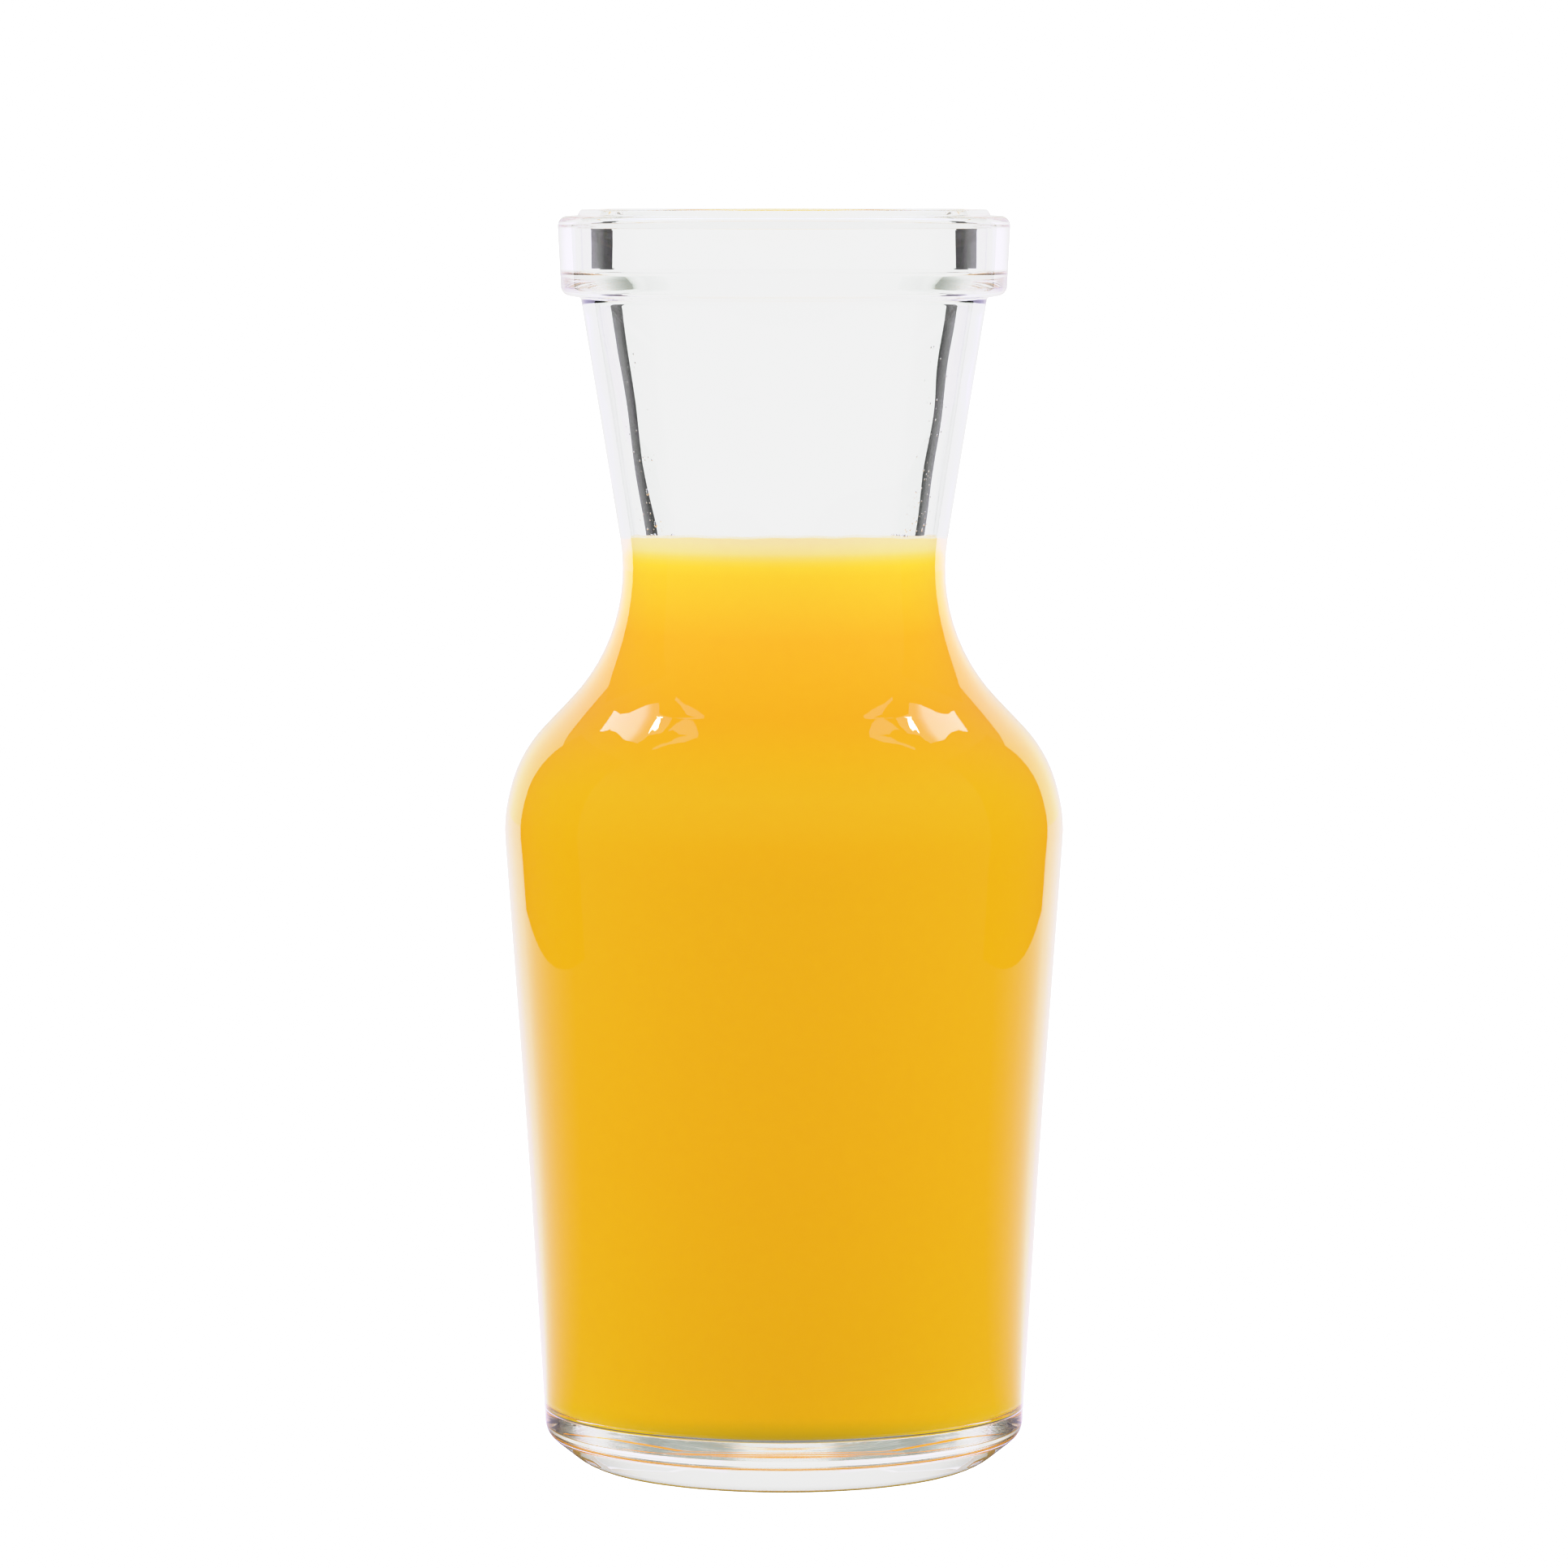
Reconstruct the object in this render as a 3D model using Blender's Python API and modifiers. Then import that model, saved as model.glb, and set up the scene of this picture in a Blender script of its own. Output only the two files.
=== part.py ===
"""Open glass carafe filled with orange juice.

Metres, +Z up. The origin is the centre of the foot, on the surface that the carafe stands on.
The carafe is one turned glass shell: a raised lip, a thick collar, a tapering neck, a waist, a
round shoulder, a body that narrows downwards and a thick foot. The juice is a turned solid that
fills it up to the waist.
"""
import math
from collections import namedtuple

import bpy
import numpy as np

# A corner of a turned outline: its distance from the axis, its height and its rounding
Corner = namedtuple("Corner", "radius height rounding")

# Lip and collar, outside
HEIGHT = 0.1792
LIP_TOP = Corner(0.0288, HEIGHT, 0.0004)
LIP_ROOT = Corner(0.0293, 0.17835, 0.0003)
COLLAR_TOP = Corner(0.0321, 0.1783, 0.0014)
COLLAR_BOTTOM = Corner(0.03155, 0.1672, 0.0014)
COLLAR_ROOT = Corner(0.0288, 0.16675, 0.0005)

# Neck, waist, shoulder and body, outside
WAIST_TOP = Corner(0.02245, 0.1277, 0.0268)
WAIST_BOTTOM = Corner(0.0251, 0.1153, 0.0264)
SHOULDER_TOP = Corner(0.0378, 0.1020, 0.0196)
SHOULDER_BOTTOM = Corner(0.0399, 0.0928, 0.0198)
BODY_BOW = Corner(0.03655, 0.0462, 0.9)

# Foot, outside
HEEL_TOP = Corner(0.0341, 0.0050, 0.0032)
HEEL_BOTTOM = Corner(0.0278, 0.0, 0.0086)
STAND_RADIUS = 0.0215
PUNT_RADIUS = 0.0190
PUNT_HEIGHT = 0.0009
PUNT_ROUNDING = 0.0040

# Inside of the glass
NECK_WALL = 0.0015
SHOULDER_WALL = 0.0022
BODY_WALL = 0.0025
FLOOR_HEIGHT = 0.0079
FLOOR_ROUNDING = 0.0040
LEDGE_INNER = Corner(0.0271, 0.1664, 0.0022)
LEDGE_OUTER = Corner(0.0295, 0.1704, 0.0015)
BORE_TOP = Corner(0.0297, 0.1772, 0.0008)
MOUTH_ROOT = Corner(0.0280, 0.1779, 0.0005)
MOUTH_TOP = Corner(0.0280, HEIGHT, 0.00035)

# Juice
JUICE_LEVEL = 0.1312
JUICE_GAP = 0.0003
MENISCUS_RISE = 0.0008
MENISCUS_WIDTH = 0.0030
MENISCUS_STEPS = 3

# Turning
TURN_STEPS = 42
CHORD_ERROR = 0.00006
ARC_LEAST = 2
MERGE_DISTANCE = 0.00001


def unit(vector):
    """The vector at length one."""
    return vector / np.linalg.norm(vector)


def place(corner):
    """The corner's place in the plane of the outline."""
    return np.array([corner.radius, corner.height])


def arc(before, corner, after):
    """Points on the arc that rounds a corner, from the side that comes first to the other."""
    here = place(corner)
    back = unit(place(before) - here)
    ahead = unit(place(after) - here)
    half = math.acos(np.clip(back @ ahead, -1, 1)) / 2
    reach = corner.rounding / math.tan(half)
    middle = here + unit(back + ahead) * corner.rounding / math.sin(half)
    start = here + back * reach - middle
    end = here + ahead * reach - middle
    first = math.atan2(start[1], start[0])
    turn = math.remainder(math.atan2(end[1], end[0]) - first, 2 * math.pi)
    step = 2 * math.acos(max(0, 1 - CHORD_ERROR / corner.rounding))
    count = max(ARC_LEAST, math.ceil(abs(turn) / step))
    angles = first + turn * np.linspace(0, 1, count + 1)
    return middle + corner.rounding * np.stack([np.cos(angles), np.sin(angles)], axis=1)


def rounded(corners):
    """The outline through a row of corners, each rounded but the first and the last."""
    runs = [place(corners[0])[None]]
    for before, corner, after in zip(corners, corners[1:], corners[2:]):
        runs.append(arc(before, corner, after))
    runs.append(place(corners[-1])[None])
    return np.concatenate(runs)


def inset(before, corner, after, depth):
    """A corner moved to the left of the outline's way, square to both of its sides.

    A corner that turns left has its centre on that side, so its rounding shrinks. A corner that
    turns right has it on the other side, so its rounding grows.
    """
    ahead = unit(place(after) - place(corner))
    back = unit(place(before) - place(corner))
    turns_left = ahead[0] * back[1] - ahead[1] * back[0] > 0
    half = math.acos(np.clip(back @ ahead, -1, 1)) / 2
    side = 1 if turns_left else -1
    moved = place(corner) + side * unit(back + ahead) * depth / math.sin(half)
    return Corner(moved[0], moved[1], corner.rounding - side * depth)


def outside_corners():
    """The glass from the lip's outer edge down the outside to the middle of the foot."""
    return [
        LIP_TOP,
        LIP_ROOT,
        COLLAR_TOP,
        COLLAR_BOTTOM,
        COLLAR_ROOT,
        WAIST_TOP,
        WAIST_BOTTOM,
        SHOULDER_TOP,
        SHOULDER_BOTTOM,
        BODY_BOW,
        HEEL_TOP,
        HEEL_BOTTOM,
        Corner(STAND_RADIUS, 0, PUNT_ROUNDING),
        Corner(PUNT_RADIUS, PUNT_HEIGHT, PUNT_ROUNDING),
        Corner(0, PUNT_HEIGHT, 0),
    ]


def inside_corners():
    """The glass from the middle of its floor up the inside to the lip's inner edge."""
    outside = outside_corners()
    walls = {
        WAIST_TOP: NECK_WALL,
        WAIST_BOTTOM: NECK_WALL,
        SHOULDER_TOP: SHOULDER_WALL,
        SHOULDER_BOTTOM: BODY_WALL,
        BODY_BOW: BODY_WALL,
    }
    body = []
    for before, corner, after in zip(outside, outside[1:], outside[2:]):
        if corner in walls:
            body.append(inset(after, corner, before, walls[corner]))
    floor_edge = Corner(HEEL_TOP.radius - BODY_WALL, FLOOR_HEIGHT, FLOOR_ROUNDING)
    return [
        Corner(0, FLOOR_HEIGHT, 0),
        floor_edge,
        *reversed(body),
        LEDGE_INNER,
        LEDGE_OUTER,
        BORE_TOP,
        MOUTH_ROOT,
        MOUTH_TOP,
    ]


def below(points, level):
    """The part of a rising outline that lies under a level, ended on the level."""
    count = int(np.argmax(points[:, 1] > level))
    low, high = points[count - 1], points[count]
    share = (level - low[1]) / (high[1] - low[1])
    return np.concatenate([points[:count], (low + share * (high - low))[None]])


def juice_outline():
    """The juice from the middle of its surface, up the meniscus, then down its side and under."""
    walls = inside_corners()
    inner = [Corner(0, FLOOR_HEIGHT + JUICE_GAP, 0)]
    for before, corner, after in zip(walls, walls[1:], walls[2:]):
        if corner.height < LEDGE_INNER.height:
            inner.append(inset(before, corner, after, JUICE_GAP))
    neck = Corner(LEDGE_INNER.radius - JUICE_GAP, LEDGE_INNER.height, 0)
    side = below(rounded([*inner, neck]), JUICE_LEVEL + MENISCUS_RISE)
    edge = side[-1, 0]
    share = np.linspace(0, 1, MENISCUS_STEPS + 1)[:-1]
    surface = np.stack([edge - MENISCUS_WIDTH * (1 - share), JUICE_LEVEL + MENISCUS_RISE * share ** 2], axis=1)
    middle = np.array([[0, JUICE_LEVEL]])
    return np.concatenate([middle, surface, side[::-1]])


def make_material(name, color, roughness, transmission, refraction):
    """A Principled material of one colour."""
    material = bpy.data.materials.new(name)
    material.use_nodes = True
    shader = material.node_tree.nodes["Principled BSDF"]
    shader.inputs["Base Color"].default_value = (*color, 1)
    shader.inputs["Metallic"].default_value = 0
    shader.inputs["Roughness"].default_value = roughness
    shader.inputs["Transmission Weight"].default_value = transmission
    shader.inputs["IOR"].default_value = refraction
    return material


def turned(name, outline, material, collection):
    """An object whose outline, at +X, is turned about the Z axis."""
    mesh = bpy.data.meshes.new(name)
    points = [(radius, 0, height) for radius, height in outline]
    edges = [(index, index + 1) for index in range(len(points) - 1)]
    mesh.from_pydata(points, edges, [])
    mesh.materials.append(material)
    piece = bpy.data.objects.new(name, mesh)
    collection.objects.link(piece)
    screw = piece.modifiers.new("Turn", "SCREW")
    screw.axis = "Z"
    screw.angle = 2 * math.pi
    screw.steps = TURN_STEPS
    screw.render_steps = TURN_STEPS
    screw.use_smooth_shade = True
    screw.use_merge_vertices = True
    screw.merge_threshold = MERGE_DISTANCE
    return piece


def clear_scene():
    """Removes every object that the file opened with."""
    for item in list(bpy.data.objects):
        bpy.data.objects.remove(item, do_unlink=True)


def main():
    clear_scene()
    collection = bpy.data.collections.new("juice_carafe")
    bpy.context.scene.collection.children.link(collection)
    base = bpy.data.objects.new("carafe_base", None)
    collection.objects.link(base)
    glass = make_material("clear_glass", (0.93, 0.95, 0.94), 0.02, 1, 1.5)
    juice = make_material("orange_juice", (0.92, 0.50, 0.02), 0.15, 0, 1.35)
    pieces = [
        turned("glass_carafe", rounded(inside_corners() + outside_corners()), glass, collection),
        turned("orange_juice", juice_outline(), juice, collection),
    ]
    for piece in pieces:
        piece.parent = base


main()
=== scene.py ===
# %% [markdown]
# # A glass carafe of orange juice
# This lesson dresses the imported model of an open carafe: a turned shell of clear glass, filled to the waist
# with orange juice. Glass has hardly any colour of its own. What the eye reads as glass is the studio around
# it, bent and mirrored by the wall, so a good part of the work is in a true wall and in the studio.
#
# The frame gives the solids at their real size, in metres. Z runs up the axis of the carafe, and the
# photograph looks along +Y. The drawing of the glass below is in millimetres, as a glassmaker's would be.

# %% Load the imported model
import math
from collections import namedtuple

import bpy
import numpy as np
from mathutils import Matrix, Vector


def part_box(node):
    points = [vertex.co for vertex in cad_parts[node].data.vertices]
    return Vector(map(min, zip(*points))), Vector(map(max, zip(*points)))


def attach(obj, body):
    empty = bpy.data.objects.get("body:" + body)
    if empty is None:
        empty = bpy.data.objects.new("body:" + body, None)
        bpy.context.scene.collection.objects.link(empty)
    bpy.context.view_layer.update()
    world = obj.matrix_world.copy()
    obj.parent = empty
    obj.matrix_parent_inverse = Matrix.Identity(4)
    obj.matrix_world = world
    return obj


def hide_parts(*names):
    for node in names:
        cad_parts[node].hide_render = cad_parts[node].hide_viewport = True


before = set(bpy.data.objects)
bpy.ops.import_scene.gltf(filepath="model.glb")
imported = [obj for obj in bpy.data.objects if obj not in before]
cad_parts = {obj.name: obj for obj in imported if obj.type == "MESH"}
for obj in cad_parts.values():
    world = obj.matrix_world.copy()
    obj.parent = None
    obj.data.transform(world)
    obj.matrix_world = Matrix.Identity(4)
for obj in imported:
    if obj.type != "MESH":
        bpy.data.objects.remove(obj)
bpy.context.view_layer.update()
glass_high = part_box("glass_carafe")[1]
print("nodes", sorted(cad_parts), "height", round(glass_high.z, 4))

# %% [markdown]
# ## The camera
# The photograph was taken with a long lens from a little above the lip. Its place and lens were worked out
# from the outline: a wrong height would show at once in the curve of the rim and of the foot. It comes first,
# because every other choice is judged through it.

# %% Camera
CAMERA_DISTANCE = 1.103
CAMERA_HEIGHT = 0.1864
CAMERA_PITCH = 4.603
LENS = 178.41
SENSOR = 36
NEAREST = 0.05

lens = bpy.data.cameras.new("camera")
lens.lens = LENS
lens.sensor_width = SENSOR
lens.clip_start = NEAREST
camera = bpy.data.objects.new("camera", lens)
camera.location = (0, -CAMERA_DISTANCE, CAMERA_HEIGHT)
camera.rotation_euler = (math.radians(90 - CAMERA_PITCH), 0, 0)
bpy.context.scene.collection.objects.link(camera)
bpy.context.scene.camera = camera
print("camera looks down by", CAMERA_PITCH, "degrees")

# %% [markdown]
# ## The drawing of the glass
# A glassmaker would draw half of the section: the outside from the lip down to the foot, and the inside back
# up. Each corner is a distance from the axis, a height and a rounding, in millimetres, and an arc rounds it.
# The same section could be traced with many points, but then no size in it could be read or changed.

# %% Corners and arcs
Corner = namedtuple("Corner", "radius height rounding")
DRAWN_HEIGHT = 179.2
MM = glass_high.z / DRAWN_HEIGHT
ARC_STEP = math.radians(5)

LIP = [Corner(28.8, 179.2, 0.4), Corner(29.3, 178.35, 0.3)]
COLLAR = [Corner(32.1, 178.3, 1.4), Corner(31.55, 167.2, 1.4), Corner(28.8, 166.75, 0.5)]
WAIST = [Corner(22.45, 127.7, 26.8), Corner(25.1, 115.3, 26.4)]
SHOULDER = [Corner(37.8, 102.0, 19.6), Corner(39.9, 92.8, 19.8)]
BODY = [Corner(36.55, 46.2, 900)]
HEEL = [Corner(34.1, 5.0, 3.2), Corner(27.8, 0, 8.6)]
PUNT = [Corner(21.5, 0, 4.0), Corner(19.0, 0.9, 4.0), Corner(0, 0.9, 0)]
OUTSIDE = LIP + COLLAR + WAIST + SHOULDER + BODY + HEEL + PUNT


def unit(vector):
    """The vector at length one."""
    return vector / np.linalg.norm(vector)


def sides(before, corner, after):
    """A corner's place, and the directions back and ahead along the outline."""
    here = np.array(corner[:2], float)
    return here, unit(np.array(before[:2]) - here), unit(np.array(after[:2]) - here)


def arc(before, corner, after):
    """Points on the circle that touches both sides of a corner, turned from one touch to the other."""
    here, back, ahead = sides(before, corner, after)
    half = math.acos(np.clip(back @ ahead, -1, 1)) / 2
    middle = here + unit(back + ahead) * corner.rounding / math.sin(half)
    reach = corner.rounding / math.tan(half)
    start, end = here + back * reach - middle, here + ahead * reach - middle
    first = math.atan2(start[1], start[0])
    turn = math.remainder(math.atan2(end[1], end[0]) - first, 2 * math.pi)
    angles = first + turn * np.linspace(0, 1, math.ceil(abs(turn) / ARC_STEP) + 1)
    return middle + corner.rounding * np.stack([np.cos(angles), np.sin(angles)], axis=1)


def rounded(corners):
    """The outline through a row of corners, each rounded but the first and the last."""
    runs = [arc(*three) for three in zip(corners, corners[1:], corners[2:])]
    ends = np.array([corners[0][:2], corners[-1][:2]], float)
    return np.concatenate([ends[:1], *runs, ends[1:]])


print("corners outside", len(OUTSIDE), "points", len(rounded(OUTSIDE)))

# %% [markdown]
# ## The inside
# The inside follows the outside at the thickness of the wall, so each of its corners is an outside corner
# moved square to both of its sides. The wall is thin in the neck, thicker in the body, and the floor is a
# thick slab. In the collar the bore widens above a small ledge and closes again under the lip.

# %% The inside of the glass
NECK_WALL, SHOULDER_WALL, BODY_WALL = 1.5, 2.2, 2.5
WALLS = dict(zip(WAIST + SHOULDER + BODY, [NECK_WALL, NECK_WALL, SHOULDER_WALL, BODY_WALL, BODY_WALL]))
FLOOR_HEIGHT, FLOOR_ROUNDING = 7.9, 4.0
LEDGE = [Corner(27.1, 166.4, 2.2), Corner(29.5, 170.4, 1.5)]
MOUTH = [Corner(29.7, 177.2, 0.8), Corner(28.0, 177.9, 0.5), Corner(28.0, 179.2, 0.35)]
ABOVE_BODY = 100


def inset(before, corner, after, depth):
    """A corner moved to the left of the outline's way. Its arc shrinks if it turns left, or else grows."""
    here, back, ahead = sides(before, corner, after)
    side = 1 if ahead[0] * back[1] - ahead[1] * back[0] > 0 else -1
    half = math.acos(np.clip(back @ ahead, -1, 1)) / 2
    moved = here + side * unit(back + ahead) * depth / math.sin(half)
    return Corner(moved[0], moved[1], corner.rounding - side * depth)


def inner_wall():
    """The inside corners from the edge of the floor up to the waist."""
    wall = [
        inset(after, corner, before, WALLS[corner])
        for before, corner, after in zip(OUTSIDE, OUTSIDE[1:], OUTSIDE[2:])
        if corner in WALLS
    ]
    return [Corner(HEEL[0].radius - BODY_WALL, FLOOR_HEIGHT, FLOOR_ROUNDING), *reversed(wall)]


INSIDE = [Corner(0, FLOOR_HEIGHT, 0), *inner_wall(), *LEDGE, *MOUTH]
bore = rounded(INSIDE)
print("inner radius at the waist", round(float(bore[bore[:, 1] > ABOVE_BODY][:, 0].min()), 2), "mm")

# %% [markdown]
# ## Turning a section into a surface
# A lathe tool such as the Screw modifier would do, but the bore of real glass isn't a perfect turning: it
# wanders by a few hundredths of a millimetre. So the surface is worked out here, as a grid of two parameters:
# the place along the outline and the angle around the axis. The middle of the floor and of the foot are
# single points, so the shell is closed.

# %% A grid around the axis
TURN_STEPS = 192
LONGEST_RUN = 1.6


def split_runs(points):
    """The outline with every straight run cut into equal steps, none over the longest."""
    run = np.diff(points, axis=0)
    length = np.linalg.norm(run, axis=1)
    points, run, length = points[:-1][length > 0], run[length > 0], length[length > 0]
    count = np.ceil(length / LONGEST_RUN).astype(int)
    first = np.repeat(np.cumsum(count) - count, count)
    share = (np.arange(count.sum()) - first) / np.repeat(count, count)
    inner = np.repeat(points, count, axis=0) + np.repeat(run, count, axis=0) * share[:, None]
    return np.concatenate([inner, (points[-1] + run[-1])[None]])


def add_mesh(name, points, faces, materials):
    """A smooth mesh object from arrays of points, in metres, and of faces."""
    mesh = bpy.data.meshes.new(name)
    mesh.from_pydata(points.tolist(), [], faces)
    for material in materials:
        mesh.materials.append(material)
    mesh.shade_smooth()
    piece = bpy.data.objects.new(name, mesh)
    bpy.context.scene.collection.objects.link(piece)
    return piece


def turned(name, outline, materials, shape):
    """The outline turned about Z: x = r cos a, y = r sin a, z = h, with r and h given by shape(a, r, h)."""
    angle = np.linspace(0, 2 * math.pi, TURN_STEPS, endpoint=False)
    ring = outline[1:-1]
    radius = np.repeat(ring[:, :1], TURN_STEPS, axis=1)
    height = np.repeat(ring[:, 1:], TURN_STEPS, axis=1)
    radius, height = shape(angle[None], radius, height)
    grid = np.stack([radius * np.cos(angle), radius * np.sin(angle), height], axis=-1).reshape(-1, 3)
    poles = np.array([[0, 0, outline[0, 1]], [0, 0, outline[-1, 1]]])
    index = np.arange(len(grid)).reshape(len(ring), TURN_STEPS)
    beside = np.roll(index, -1, axis=1)
    quads = np.stack([index[:-1], index[1:], beside[1:], beside[:-1]], axis=-1).reshape(-1, 4)
    first = np.stack([np.full(TURN_STEPS, len(grid)), index[0], beside[0]], axis=-1)
    last = np.stack([index[-1], np.full(TURN_STEPS, len(grid) + 1), beside[-1]], axis=-1)
    points = np.concatenate([grid, poles]) * MM
    return add_mesh(name, points, first.tolist() + quads.tolist() + last.tolist(), materials)


print("outline runs", len(split_runs(rounded(INSIDE + OUTSIDE))), "around", TURN_STEPS)

# %% [markdown]
# ## Node graphs as arithmetic
# A material is a small formula, and Blender writes it as a graph of nodes. Nodes could be added and linked
# one by one, but then a plain sum takes four lines. The class below wraps an output socket, so that a sum or
# a product written in Python adds the Math node for it.

# %% A socket that can be added and multiplied
class Value:
    """A number or colour that a node puts out. Arithmetic on it adds Math nodes to its graph."""

    def __init__(self, graph, socket):
        self.graph = graph
        self.socket = socket

    def math(self, operation, *values):
        """The Math node of an operation on values."""
        return self.graph.node("ShaderNodeMath", 0, {"operation": operation}, dict(enumerate(values)))

    def __add__(self, other):
        return self.math("ADD", self, other)

    def __sub__(self, other):
        return self.math("SUBTRACT", self, other)

    def __rsub__(self, other):
        return self.math("SUBTRACT", other, self)

    def __mul__(self, other):
        return self.math("MULTIPLY", self, other)

    __radd__ = __add__
    __rmul__ = __mul__

    def __truediv__(self, other):
        return self.math("DIVIDE", self, other)

    def __abs__(self):
        return self.math("ABSOLUTE", self)

    def larger(self, other):
        """The larger one of this value and another."""
        return self.math("MAXIMUM", self, other)


print("a value knows + - * / and abs")

# %% [markdown]
# Every other node comes from one method, which takes the node's type, its settings and what goes into its
# sockets. The few nodes that come up again and again get a short name of their own on top of it.

# %% A graph of nodes
class Graph:
    """The nodes of one material or of the world."""

    def __init__(self, owner):
        owner.use_nodes = True
        self.tree = owner.node_tree
        self.tree.nodes.clear()

    def node(self, kind, output, settings=None, inputs=None):
        """Adds a node, sets it, fills its sockets with values or links, and gives back one of its outputs."""
        node = self.tree.nodes.new(kind)
        for name, value in (settings or {}).items():
            if name == "stops":
                self.set_stops(node.color_ramp, value)
            else:
                setattr(node, name, value)
        for name, value in (inputs or {}).items():
            if isinstance(value, Value):
                self.tree.links.new(value.socket, node.inputs[name])
            else:
                node.inputs[name].default_value = value
        return Value(self, node.outputs[output])

    @staticmethod
    def set_stops(ramp, stops):
        """Puts a ramp's stops at (place, colour)."""
        while len(ramp.elements) < len(stops):
            ramp.elements.new(1)
        for element, (place, color) in zip(ramp.elements, stops):
            element.position = place
            element.color = (*color, 1)

    def object_place(self, axis):
        """One of the piece's own coordinates, in metres."""
        place = self.node("ShaderNodeTexCoord", "Object")
        return self.node("ShaderNodeSeparateXYZ", axis, inputs={0: place})

    def noise(self, size, detail=2):
        """Smooth noise from 0 to 1 whose lumps are about the size given, in metres."""
        place = self.node("ShaderNodeTexCoord", "Object")
        lumps = {"Vector": place, "Scale": 1 / size, "Detail": detail}
        return self.node("ShaderNodeTexNoise", 0, inputs=lumps)

    def bump(self, size, depth):
        """A surface direction tipped by smooth noise, with lumps of a size and depth in metres."""
        ripple = {"Strength": 1, "Distance": depth, "Height": self.noise(size)}
        return self.node("ShaderNodeBump", 0, inputs=ripple)

    def ray(self, kind):
        """One when the ray is of the kind named, such as Is Shadow Ray."""
        return self.node("ShaderNodeLightPath", kind)

    def above(self, value, least):
        """One where the value is above the least, and zero elsewhere."""
        return self.node("ShaderNodeMath", 0, {"operation": "GREATER_THAN"}, {0: value, 1: least})

    def mix_shaders(self, factor, first, second):
        """The first shader at a factor of zero, and the second at one."""
        return self.node("ShaderNodeMixShader", 0, inputs={0: factor, 1: first, 2: second})

    def passing(self):
        """A shader that lets every ray through unbent."""
        return self.node("ShaderNodeBsdfTransparent", 0)

    def glow(self, color, strength):
        """A shader that gives out light."""
        return self.node("ShaderNodeEmission", 0, inputs={"Color": color, "Strength": strength})

    def neutral(self, value):
        """A colour whose three channels are the value."""
        return self.node("ShaderNodeCombineColor", 0, inputs={0: value, 1: value, 2: value})

    def finish(self, surface, output="ShaderNodeOutputMaterial"):
        """Links the last shader to the output."""
        self.tree.links.new(surface.socket, self.tree.nodes.new(output).inputs["Surface"])


def new_material(name):
    """An empty material and its graph."""
    material = bpy.data.materials.new(name)
    return material, Graph(material)


print("materials so far", len(bpy.data.materials))

# %% [markdown]
# ## Clear glass
# Soda-lime glass has an index of refraction of 1.52 and is a little green where it is thick. Light from the
# lamps would reach the juice only as a noisy caustic, so the rays that carry light inwards pass the wall
# unbent, through a Transparent shader, and the rays that the eye follows are bent and mirrored. The surface
# is not quite flat: a low bump with lumps of about a centimetre lets the mirrored lights waver.

# %% Glass material
GLASS_INDEX = 1.52
GLASS_TINT = (0.985, 0.995, 0.99)
GLASS_RIPPLE_SIZE, GLASS_RIPPLE_DEPTH = 0.012, 0.000004


def see_through(name, index, tint, ripple_size, ripple_depth):
    """A clear wet or glassy material, bent by its index, that lets the lamps' rays through."""
    material, graph = new_material(name)
    normal = graph.bump(ripple_size, ripple_depth)
    clear = graph.node(
        "ShaderNodeBsdfPrincipled", 0, {"distribution": "MULTI_GGX"},
        {"Base Color": (*tint, 1), "Roughness": 0, "IOR": index, "Transmission Weight": 1, "Normal": normal},
    )
    inward = graph.ray("Is Shadow Ray").larger(graph.ray("Is Diffuse Ray"))
    graph.finish(graph.mix_shaders(inward, clear, graph.passing()))
    return material


clear_glass = see_through("clear_glass", GLASS_INDEX, GLASS_TINT, GLASS_RIPPLE_SIZE, GLASS_RIPPLE_DEPTH)
print("index of the glass", GLASS_INDEX)

# %% [markdown]
# ## The glass
# The bore wanders: slow waves around the axis and along it, a few hundredths of a millimetre high, which fade
# out at the floor and under the lip. They are what makes the dark lines in a real neck waver.

# %% Glass piece
WAVE_HEIGHT = 0.022
WAVES, FEWEST_TURNS = 7, 2
WAVE_PITCHES = (2.5, 7)
WAVE_SEED = 11
WAVE_FROM, WAVE_TO, WAVE_FADE = 14, 162, 8


def wander(angle, height):
    """How far the bore is off, in millimetres: a sum of sines sin(n a + h / w + p), faded by height."""
    draw = np.random.default_rng(WAVE_SEED)
    total = 0
    for turns in range(FEWEST_TURNS, FEWEST_TURNS + WAVES):
        pitch, phase = draw.uniform(*WAVE_PITCHES), draw.uniform(0, 2 * math.pi)
        total = total + np.sin(turns * angle + draw.choice([-1, 1]) * height / pitch + phase)
    fade = np.clip(np.minimum(height - WAVE_FROM, WAVE_TO - height) / WAVE_FADE, 0, 1)
    return WAVE_HEIGHT * total / math.sqrt(WAVES) * fade


glass_outline = split_runs(rounded(INSIDE + OUTSIDE))
inner_count = len(split_runs(rounded(INSIDE + OUTSIDE[:1]))) - 1


def waver_inside(angle, radius, height):
    """The bore's waves, on the rings of the inside only."""
    inside = np.arange(1, len(height) + 1)[:, None] < inner_count
    return radius + wander(angle, height) * inside, height


glass = turned("carafe_glass", glass_outline, [clear_glass], waver_inside)
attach(glass, "root")
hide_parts("glass_carafe")
print("glass faces", len(glass.data.polygons))
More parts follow.
